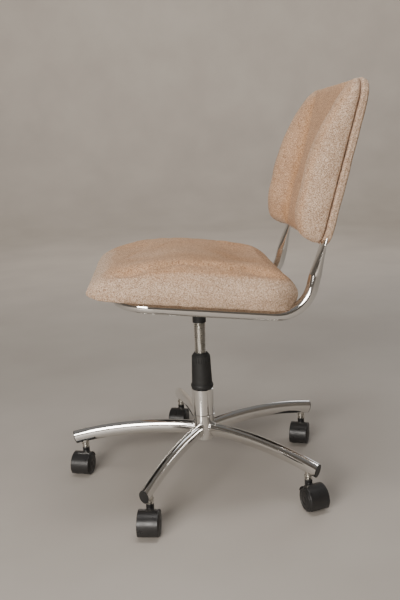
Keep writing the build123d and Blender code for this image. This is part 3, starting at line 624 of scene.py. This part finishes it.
def swelled(piece, held_below, place, pressure, most):
    """Cloth simulation: pressure swells the cover while its flat underside is held to the board."""
    to_pad = place.inverted()
    held = piece.vertex_groups.new(name="held")
    held.add([v.index for v in piece.data.vertices if (to_pad @ v.co).z < held_below], 1.0, "REPLACE")
    before = [v.co.copy() for v in piece.data.vertices]
    cloth = piece.modifiers.new("cloth", "CLOTH")
    cloth.settings.quality = 4
    cloth.settings.mass = 0.2
    cloth.settings.tension_stiffness = 12.0
    cloth.settings.compression_stiffness = 12.0
    cloth.settings.bending_stiffness = 0.4
    cloth.settings.use_pressure = True
    cloth.settings.uniform_pressure_force = pressure
    cloth.settings.vertex_group_mass = "held"
    cloth.settings.effector_weights.gravity = 0.0
    cloth.point_cache.frame_start = 1
    cloth.point_cache.frame_end = swelling_frames
    for step in range(1, swelling_frames + 1):
        bpy.context.scene.frame_set(step)
    take_result(piece)
    for vertex, start in zip(piece.data.vertices, before):
        moved = vertex.co - start
        if moved.length > most:
            vertex.co = start + moved * (most / moved.length)
    piece.vertex_groups.clear()


def seat_top(x, y):
    """Height of the seat over its frame: a loaf with side bolsters, dips for thighs and haunches."""
    if y < seat_crown:
        along = rounded((y - seat_crown) / 0.226, 1.8, 1.6)
    else:
        along = rounded((y - seat_crown) / 0.231, 5.5, 2.4)
    across = rounded(max(abs(x) - seat_bolster, 0.0) / 0.100, 2.4, 2.2)
    full = seat_underside + seat_fullness * along * across
    valley = 1.0 - smooth_step(abs(x), 0.085, seat_bolster)
    front_dip = 0.008 * math.exp(-(((y + 0.130) / 0.050) ** 2))
    rear_dip = 0.014 * math.exp(-(((y - 0.095) / 0.055) ** 2))
    full -= valley * (front_dip + rear_dip)
    edge = inside_edge(x, y - (seat_front + seat_rear) / 2, seat_half_width - swell,
                       (seat_rear - seat_front) / 2 - swell, seat_corners)
    blunt = rounded(1 - min(max(edge, 0.0) / seat_blunt, 1.0), 2.8, 2.4)
    return seat_widest + max(full - seat_widest, 0.0) * blunt


def make_seat_pad():
    half_length = (seat_rear - seat_front) / 2
    middle_y = (seat_front + seat_rear) / 2
    outline = pad_outline(seat_half_width - swell, half_length - swell, seat_corners, pad_sides)
    pad = pad_form("seat_pad", outline, middle_y, seat_underside, seat_widest, seat_tuck,
                   seat_top, seat_place)
    remeshed(pad, pad_voxel, 4)
    swelled(pad, seat_underside + 0.003, seat_place, 2.5, 0.005)
    return pad


tweed = tweed_cloth()
seat_pad = make_seat_pad()


def sew(pad, place, wear_and_shade_amount, folds):
    """One finer subdivision, then the folds of the cover and how much each place is tinted darker, partly for
    wear and partly as painted shade.
    """
    finer = pad.modifiers.new("finer", "SUBSURF")
    finer.levels = 1
    finer.render_levels = 1
    take_result(pad)
    mesh = pad.data
    to_pad = place.inverted()
    normals = [v.normal.copy() for v in mesh.vertices]
    # Each point's darker tint: partly wear, partly painted shade.
    wear_and_shade = mesh.attributes.new("wear_and_shade", "FLOAT", "POINT")
    for vertex, normal in zip(mesh.vertices, normals):
        local = to_pad @ vertex.co
        facing = to_pad.to_3x3() @ normal
        wear_and_shade.data[vertex.index].value = wear_and_shade_amount(local, facing)
        vertex.co += place.to_3x3() @ folds(local, facing)
    mesh.shade_smooth()
    mesh.materials.clear()
    mesh.materials.append(tweed)


def gathers(around, height, reach, depth, pitch, seed):
    """Small uneven puckers running up from a sewn or stapled edge."""
    wander = noise.noise(Vector((around * 9.0, seed, 0.0)))
    strength = 0.55 + 0.45 * noise.noise(Vector((around * 23.0, seed + 7.0, 0.0)))
    wave = math.cos(math.tau * (around / pitch + 1.3 * wander))
    return depth * strength * wave * math.exp(-((height / reach) ** 2))


def crease(local, path, width, depth):
    """Depth of a soft fold line that follows a few points across the cover."""
    nearest = 1.0
    share = 0.0
    for number, (start, end) in enumerate(zip(path, path[1:])):
        run = Vector((end[0] - start[0], end[1] - start[1]))
        offset = Vector((local.x - start[0], local.y - start[1]))
        along = min(max(offset.dot(run) / run.length_squared, 0.0), 1.0)
        distance = (offset - run * along).length
        if distance < nearest:
            nearest = distance
            share = (number + along) / (len(path) - 1)
    faded = math.sin(math.pi * min(max(share, 0.02), 0.98)) ** 0.6
    return depth * math.exp(-((nearest / width) ** 2)) * faded


gather_pitch = 0.0105
seat_creases = [
    ([(0.196, -0.180), (0.191, -0.145), (0.184, -0.105)], 0.010, 0.0090),
    ([(0.184, -0.095), (0.176, -0.050), (0.174, 0.000)], 0.006, 0.0040),
    ([(0.184, 0.060), (0.189, 0.100), (0.194, 0.145)], 0.012, 0.0105),
    ([(-0.172, -0.190), (-0.160, -0.120), (-0.152, -0.050)], 0.008, 0.0050),
    ([(-0.150, 0.030), (-0.142, 0.090), (-0.155, 0.140)], 0.012, 0.0080),
    ([(0.060, -0.165), (0.000, -0.150), (-0.070, -0.120)], 0.006, 0.0030),
    ([(-0.020, -0.100), (-0.080, -0.070), (-0.130, -0.030)], 0.006, 0.0025),
]


def seat_folds(local, facing):
    """Gathers along the lower edge, pleats at the corners, fold lines along the bolsters."""
    height = max(local.z - seat_underside, 0.0)
    around = math.atan2(local.y, local.x) * 0.21
    outward = Vector((facing.x, facing.y, 0.0))
    corner = smooth_step(abs(local.x), 0.12, 0.19) * smooth_step(abs(local.y + 0.015), 0.10, 0.17)
    front = smooth_step(-local.y, 0.0, 0.12)
    reach = 0.010 + 0.007 * front
    depth = 0.0006 + 0.0016 * corner * front
    shift = outward * (gathers(around, height, reach, depth, gather_pitch, 3.0) * outward.length)
    rear = smooth_step(local.y, 0.02, 0.17)
    shift += outward * rear * (0.010 * math.exp(-(((height - 0.036) / 0.024) ** 2)) - 0.008)
    if facing.z > 0.05:
        for path, width, deepest in seat_creases:
            shift -= facing * crease(local, path, width, deepest)
    soft = noise.noise(Vector((local.x * 26.0, local.y * 26.0, local.z * 26.0)))
    shift += facing * soft * 0.0012 * smooth_step(height, 0.004, 0.03)
    return shift


# Darker warm tint on the up-facing top of the seat: partly wear where it is sat on, partly painted shade of a
# top that the light only grazes.
def seat_wear_and_shade(local, facing):
    top = smooth_step(facing.z, 0.35, 0.9) * smooth_step(local.z, 0.045, 0.070)
    patch = 0.85 + 0.3 * noise.noise(Vector((local.x * 11.0, local.y * 11.0, 4.0)))
    return min(max(top * patch, 0.0), 1.0)


sew(seat_pad, seat_place, seat_wear_and_shade, seat_folds)
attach(seat_pad, "seat")
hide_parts("seat_cushion")


# ---- Backrest pad. Foam on a second board, hollowed between two upright bolsters to take the
# sitter's back, in the same tweed. A seam joins it all round to the rear cover.
lean = math.radians(15.1)
back_lower_edge = Vector((0, 0.2005, 0.3978)) + Vector((0, math.sin(lean), math.cos(lean))) * 0.1413
back_axes = Matrix(((1, 0, 0), (0, math.sin(lean), -math.cos(lean)), (0, math.cos(lean), math.sin(lean))))
back_place = Matrix.Translation(back_lower_edge) @ back_axes.to_4x4()
back_height = 0.332
back_half_width = 0.205
back_corners = (0.032, 0.050)
back_seam = 0.0064
back_widest = back_seam + 0.010
back_tuck = 0.004
back_fullness = 0.067
back_crown = 0.110
back_bolster = 0.170
hollow_depth = 0.047
back_blunt = 0.015


def hollow_share(x, y):
    """How deep a place lies in the hollow between the bolsters, whose edges wander a little."""
    waver = 0.006 * math.sin(y * 40.0 + 1.0) * smooth_step(y, 0.04, 0.12)
    return 1.0 - smooth_step(abs(x) + waver, 0.106, 0.162)


def back_front(x, y):
    """How far the backrest stands forward: two bolsters, the hollow between them, thin ends."""
    if y < back_crown:
        along = rounded((y - back_crown) / 0.116, 3.2, 2.4)
    else:
        along = rounded((y - back_crown) / 0.228, 1.9, 1.6)
    across = rounded(max(abs(x) - back_bolster, 0.0) / 0.040, 2.4, 2.2)
    full = (back_fullness * across - hollow_share(x, y) * hollow_depth) * along
    edge = inside_edge(x, y - back_height / 2, back_half_width - swell, back_height / 2 - swell, back_corners)
    blunt = rounded(1 - min(max(edge, 0.0) / back_blunt, 1.0), 2.6, 2.4)
    return back_widest + max(full - back_widest, 0.0) * blunt


def make_back_pad():
    middle_y = back_height / 2
    outline = pad_outline(back_half_width - swell, middle_y - swell, back_corners, pad_sides)
    pad = pad_form("back_pad", outline, middle_y, back_seam, back_widest, back_tuck, back_front, back_place)
    remeshed(pad, pad_voxel, 4)
    swelled(pad, back_seam + 0.004, back_place, 2.0, 0.004)
    return pad


def back_folds(local, facing):
    """Faint puckers along the seam, slight unevenness elsewhere."""
    height = max(local.z - back_seam, 0.0)
    around = math.atan2(local.y - back_height / 2, local.x) * 0.19
    outward = Vector((facing.x, facing.y, 0.0))
    shift = outward * gathers(around, height, 0.016, 0.0007, 0.013, 11.0)
    soft = noise.noise(Vector((local.x * 24.0, local.y * 24.0, local.z * 24.0 + 9.0)))
    shift += facing * soft * 0.0014 * smooth_step(height, 0.004, 0.03)
    return shift


# Darker warm tint on the forward-facing front, stronger in the hollow between the bolsters: partly wear,
# partly painted shade in the hollow.
def back_wear_and_shade(local, facing):
    front = smooth_step(facing.z, 0.30, 0.85)
    return front * (0.55 + 0.55 * hollow_share(local.x, local.y))


back_pad = make_back_pad()
sew(back_pad, back_place, back_wear_and_shade, back_folds)
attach(back_pad, "seat")
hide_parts("back_cushion")


# ---- Rear cover of the backrest. A thin padded shell in the same tweed, closed against the pad
# along the seam, hiding the upright ends and their screws.
cover_seam = 0.0054
cover_inset = 0.0025
cover_half_width = back_half_width - cover_inset
cover_half_height = back_height / 2 - cover_inset
cover_widest = 0.004 - cover_seam
cover_tuck = 0.003
cover_blunt = 0.007
cover_axes = Matrix(((-1, 0, 0), (0, math.sin(lean), math.cos(lean)), (0, math.cos(lean), -math.sin(lean))))
cover_place = Matrix.Translation(back_lower_edge) @ cover_axes.to_4x4()


def cover_back(x, y):
    """How far the rear cover stands back from the uprights, fullest at mid height."""
    along = rounded((y - 0.165) / 0.170, 2.4, 1.8)
    edge = inside_edge(x, y - back_height / 2, cover_half_width, cover_half_height, back_corners)
    full = 0.0085 + 0.0085 * along * smooth_step(edge, -0.02, 0.06)
    blunt = rounded(1 - min(max(edge, 0.0) / cover_blunt, 1.0), 2.6, 2.4)
    return cover_widest + max(full - cover_widest, 0.0) * blunt


def cover_folds(local, facing):
    """A tuck that runs beside the seam, a sewn join low on each side, slight unevenness."""
    edge = inside_edge(local.x, local.y - back_height / 2, back_half_width, back_height / 2, back_corners)
    depth = local.z + cover_seam
    shift = Vector()
    if facing.z < 0.75:
        tuck = math.exp(-(((depth - 0.008) / 0.0022) ** 2))
        shift -= facing * 0.0012 * tuck * smooth_step(edge, -0.004, 0.003)
        shift -= facing * 0.0010 * math.exp(-(((local.y - 0.150) / 0.0018) ** 2))
    soft = noise.noise(Vector((local.x * 30.0, local.y * 30.0, local.z * 30.0 + 21.0)))
    return shift + facing * soft * 0.0009


# The rear cover gets none of the darker tint: no wear and no painted shade.
def no_wear_or_shade(local, facing):
    return 0.0


cover_outline = pad_outline(cover_half_width, cover_half_height, back_corners, pad_sides)
rear_cover = pad_form("rear_cover", cover_outline, back_height / 2, -cover_seam, cover_widest, cover_tuck,
                      cover_back, cover_place)
remeshed(rear_cover, 0.004, 3)
sew(rear_cover, cover_place, no_wear_or_shade, cover_folds)
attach(rear_cover, "seat")
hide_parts("back_panel")


# ---- Boards and underside. Both pads are built on beech plywood; a thin black dust cloth is
# stapled tight under the seat board, and four cross-recessed screws come up through the
# crossbars into it.
dust_half_width = 0.186
dust_half_length = 0.173
dust_middle = -0.015
dust_corners = (0.073, 0.073)
dust_top = 0.0134
dust_thickness = 0.0006
crossbar_place = 0.075
screw_place = (0.110, 0.075)
screw_head_seat = -0.0080
screw_head_radius = 0.0062
screw_head_height = 0.0032
recess_depth = 0.0018
recess_half_width = 0.0011
staple_pitch = 0.031
staple_inset = 0.007


def plywood_finish():
    """Rotary cut beech: long soft figure along the sheet, a little darker in the grain lines."""
    material, shader, place = finish_material("beech_plywood", 0.0, 0.62)
    tree = material.node_tree
    long_way = tree.nodes.new("ShaderNodeMapping")
    long_way.inputs["Scale"].default_value = (9.0, 70.0, 70.0)
    tree.links.new(place, long_way.inputs["Vector"])
    figure = clouds(material, long_way.outputs["Vector"], 1.6, 5.0)
    tones = [(0.3, (0.34, 0.20, 0.10)), (0.55, (0.52, 0.34, 0.19)), (0.75, (0.62, 0.43, 0.26))]
    between(material, figure, tones, shader.inputs["Base Color"])
    relief(material, shader, figure, 0.0003, 0.4)
    return material


def hanging(x, y):
    """How far the dust cloth sags, between the crossbars and away from its staples."""
    edge = inside_edge(x, y - dust_middle, dust_half_width, dust_half_length, dust_corners)
    free = smooth_step(edge, 0.012, 0.050) * min(abs(abs(y) - crossbar_place) / 0.03, 1.0)
    return free * (0.0006 + 0.0006 * noise.noise(Vector((x * 16.0, y * 16.0, 2.0))))


def make_dust_cover():
    outline = pad_outline(dust_half_width, dust_half_length, dust_corners, 160)
    rings = []
    steps = 34
    for top in (False, True):
        for step in range(steps + 1):
            share = max(step / steps, smallest_ring)
            if top:
                share = max(1 - step / steps, smallest_ring)
            ring = []
            for x, y in outline:
                across, along = x * share, y * share + dust_middle
                height = dust_top - hanging(across, along) - (0.0 if top else dust_thickness)
                ring.append(seat_place @ Vector((across, along, height)))
            rings.append(ring)
    cover = closed_rings("dust_cover", rings)
    cover.data.shade_smooth()
    cover.data.set_sharp_from_angle(angle=math.radians(40))
    return cover


def fastener_tree():
    """One fastener at every point, turned as the point's turn attribute says."""
    inputs = [("Fastener", "NodeSocketObject"), ("Material", "NodeSocketMaterial")]
    tree, group_in, group_out = new_tree("fasteners", inputs)
    shape = step_node(tree, "GeometryNodeObjectInfo", Object=group_in.outputs["Fastener"])
    turn = tree.nodes.new("GeometryNodeInputNamedAttribute")
    turn.data_type = "FLOAT_VECTOR"
    turn.inputs["Name"].default_value = "turn"
    spread = step_node(tree, "GeometryNodeInstanceOnPoints", Points=group_in.outputs["Geometry"],
                       Instance=shape.outputs["Geometry"], Rotation=turn.outputs["Attribute"])
    finish_tree(tree, group_in, group_out, spread.outputs[0])
    return tree


def staple_shape():
    """A flat wire staple: its crown lies on the cloth, its two legs go into the board."""
    path = [(-0.0052, -0.0040), (-0.0052, -0.0004), (-0.0046, 0.0003), (0.0046, 0.0003), (0.0052, -0.0004),
            (0.0052, -0.0040)]
    rings = []
    for across, up in path:
        lift = 0.0003 if abs(across) < 0.005 else 0.0
        flat = 0.0003 if abs(across) > 0.005 else 0.0
        side = math.copysign(1.0, across)
        rings.append([(across - side * flat, -0.0005, up + lift), (across + side * flat, -0.0005, up - lift),
                      (across + side * flat, 0.0005, up - lift), (across - side * flat, 0.0005, up + lift)])
    return closed_rings("staple_shape", rings)


def screw_shape():
    """A pan head with a cross recess, flat side down."""
    sides = 72
    steps = 20
    profile = [(0.01, 0.0), (0.5, 0.0), (1.0, 0.0)]
    for step in range(steps + 1):
        share = max(1.0 - step / steps, 0.01)
        profile.append((share, 0.25 + 0.75 * (1 - share**3) ** 0.6))
    rings = []
    for number, (share, height) in enumerate(profile):
        ring = []
        for side in range(sides):
            angle = math.tau * side / sides
            x = screw_head_radius * share * math.cos(angle)
            y = screw_head_radius * share * math.sin(angle)
            z = screw_head_height * height
            arm = smooth_step(recess_half_width - min(abs(x), abs(y)), 0.0, 0.0005)
            if number > 3:
                z -= recess_depth * arm * (1 - smooth_step(math.hypot(x, y), 0.0024, 0.0036))
            ring.append((x, y, z))
        rings.append(ring)
    return closed_rings("screw_shape", rings)


def fastened(name, shape, placings, finish):
    """Copies of one fastener, on the seat at these places and turns, as one plain piece."""
    points = [tuple(seat_place @ Vector(place)) for place, angle in placings]
    downward = Matrix.Rotation(math.pi, 3, "X")
    turns = [(seat_axes @ downward @ Matrix.Rotation(angle, 3, "Z")).to_euler() for place, angle in placings]
    piece = made_by(fastener_tree(), name, points, [], {"Fastener": shape, "Material": finish}, turns)
    bpy.data.objects.remove(shape)
    piece.data.shade_smooth()
    piece.data.set_sharp_from_angle(angle=math.radians(35))
    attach(piece, "seat")
    return piece


plywood = plywood_finish()
dust_cloth = black_plastic("dust_cloth", (0.045, 0.045, 0.047), 0.88, 0.0002)
dress(plywood, "seat_board", "back_board")
dress(zinc, "seat_screws")
dust_cover = make_dust_cover()
dust_cover.data.materials.append(dust_cloth)
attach(dust_cover, "seat")
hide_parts("seat_dust_cover")

staple_corners = (0.066, 0.066)
staple_line = pad_outline(
    dust_half_width - staple_inset, dust_half_length - staple_inset, staple_corners, 720
)
staple_places = []
travelled = staple_pitch
for (x, y), (next_x, next_y) in zip(staple_line, staple_line[1:] + staple_line[:1]):
    travelled += math.hypot(next_x - x, next_y - y)
    if travelled >= staple_pitch:
        travelled = 0.0
        tilt = 0.25 * noise.noise(Vector((x * 90.0, y * 90.0, 5.0)))
        heading = -math.atan2(next_y - y, next_x - x) + tilt
        staple_places.append(((x, y + dust_middle, dust_top - dust_thickness), heading))
fastened("seat_staples", staple_shape(), staple_places, zinc)
screw_places = [((x, y, screw_head_seat), 0.5 + 7.0 * x + 11.0 * y) for x in (-screw_place[0], screw_place[0])
                for y in (-screw_place[1], screw_place[1])]
fastened("seat_screw_heads", screw_shape(), screw_places, zinc)


# ---- Casters. Twin-wheel furniture casters: a moulded black hood with a centre web carries the
# steel axle, and two hard plastic wheels with dished faces turn on it under the hood.
caster_black = black_plastic("caster_plastic", (0.020, 0.019, 0.019), 0.33, 0.00006)
tread_black = black_plastic("wheel_plastic", (0.016, 0.0155, 0.0155), 0.42, 0.00008)
wheel_profile = [
    (0.0046, 0.0032), (0.0046, 0.0072), (0.0126, 0.0076), (0.0126, 0.0200), (0.0052, 0.0206),
    (0.0050, 0.0238), (0.0062, 0.0250), (0.0110, 0.0251), (0.0116, 0.0247), (0.0136, 0.0247),
    (0.0142, 0.0251), (0.0188, 0.0250), (0.0204, 0.0242), (0.0212, 0.0226), (0.0214, 0.0206),
    (0.0206, 0.0199), (0.0205, 0.0188), (0.0216, 0.0178), (0.0224, 0.0150), (0.0227, 0.0100),
    (0.0221, 0.0092), (0.0221, 0.0070), (0.0228, 0.0062), (0.0231, 0.0030), (0.0231, 0.0001),
    (0.0196, 0.0001), (0.0195, 0.0032),
]
wheel_sides = 72
hood_voxel = 0.0007


def turned(name, profile, centre, axis, sides, sharp=38.0):
    """A closed lathe form: the profile gives each ring's place along the axis and its radius."""
    side_way = axis.cross(Vector((0, 0, 1))).normalized()
    up_way = axis.cross(side_way)
    points, faces = [], []
    for along, radius in profile:
        for side in range(sides):
            angle = math.tau * side / sides
            spoke = side_way * math.cos(angle) + up_way * math.sin(angle)
            points.append(centre + axis * along + spoke * radius)
    for ring in range(len(profile)):
        low, high = ring * sides, (ring + 1) % len(profile) * sides
        for side in range(sides):
            after = (side + 1) % sides
            faces.append((low + side, low + after, high + after, high + side))
    mesh = bpy.data.meshes.new(name)
    mesh.from_pydata([tuple(point) for point in points], [], faces)
    shape = bmesh.new()
    shape.from_mesh(mesh)
    bmesh.ops.recalc_face_normals(shape, faces=shape.faces)
    shape.to_mesh(mesh)
    shape.free()
    mesh.shade_smooth()
    mesh.set_sharp_from_angle(angle=math.radians(sharp))
    piece = bpy.data.objects.new(name, mesh)
    bpy.context.scene.collection.objects.link(piece)
    return piece


def softened(name, node, voxel, rounds):
    """A copy of a moulded CAD piece with its edges rounded over."""
    copy = bpy.data.objects.new(name, nodes[node].data.copy())
    bpy.context.scene.collection.objects.link(copy)
    shape = bmesh.new()
    shape.from_mesh(copy.data)
    bmesh.ops.remove_doubles(shape, verts=shape.verts, dist=0.00001)
    shape.to_mesh(copy.data)
    shape.free()
    remeshed(copy, voxel, rounds)
    copy.data.shade_smooth()
    copy.data.materials.clear()
    return copy


for number in range(1, leg_count + 1):
    hood = softened(f"caster_hood_{number}", f"caster_housing_{number}", hood_voxel, 6)
    hood.data.materials.append(caster_black)
    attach(hood, f"caster_{number}")
    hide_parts(f"caster_housing_{number}")
    dress(zinc, f"caster_stem_{number}", f"caster_axle_{number}")
    centres = {}
    for side in ("left", "right"):
        low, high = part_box(f"wheel_{side}_{number}")
        centres[side] = (low + high) / 2
    axis = (centres["left"] - centres["right"]).normalized()
    middle = (centres["left"] + centres["right"]) / 2
    for side, way in (("left", axis), ("right", -axis)):
        wheel = turned(f"{side}_wheel_{number}", wheel_profile, middle, way, wheel_sides)
        wheel.data.materials.append(tread_black)
        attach(wheel, f"{side}_wheel_{number}")
        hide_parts(f"wheel_{side}_{number}")
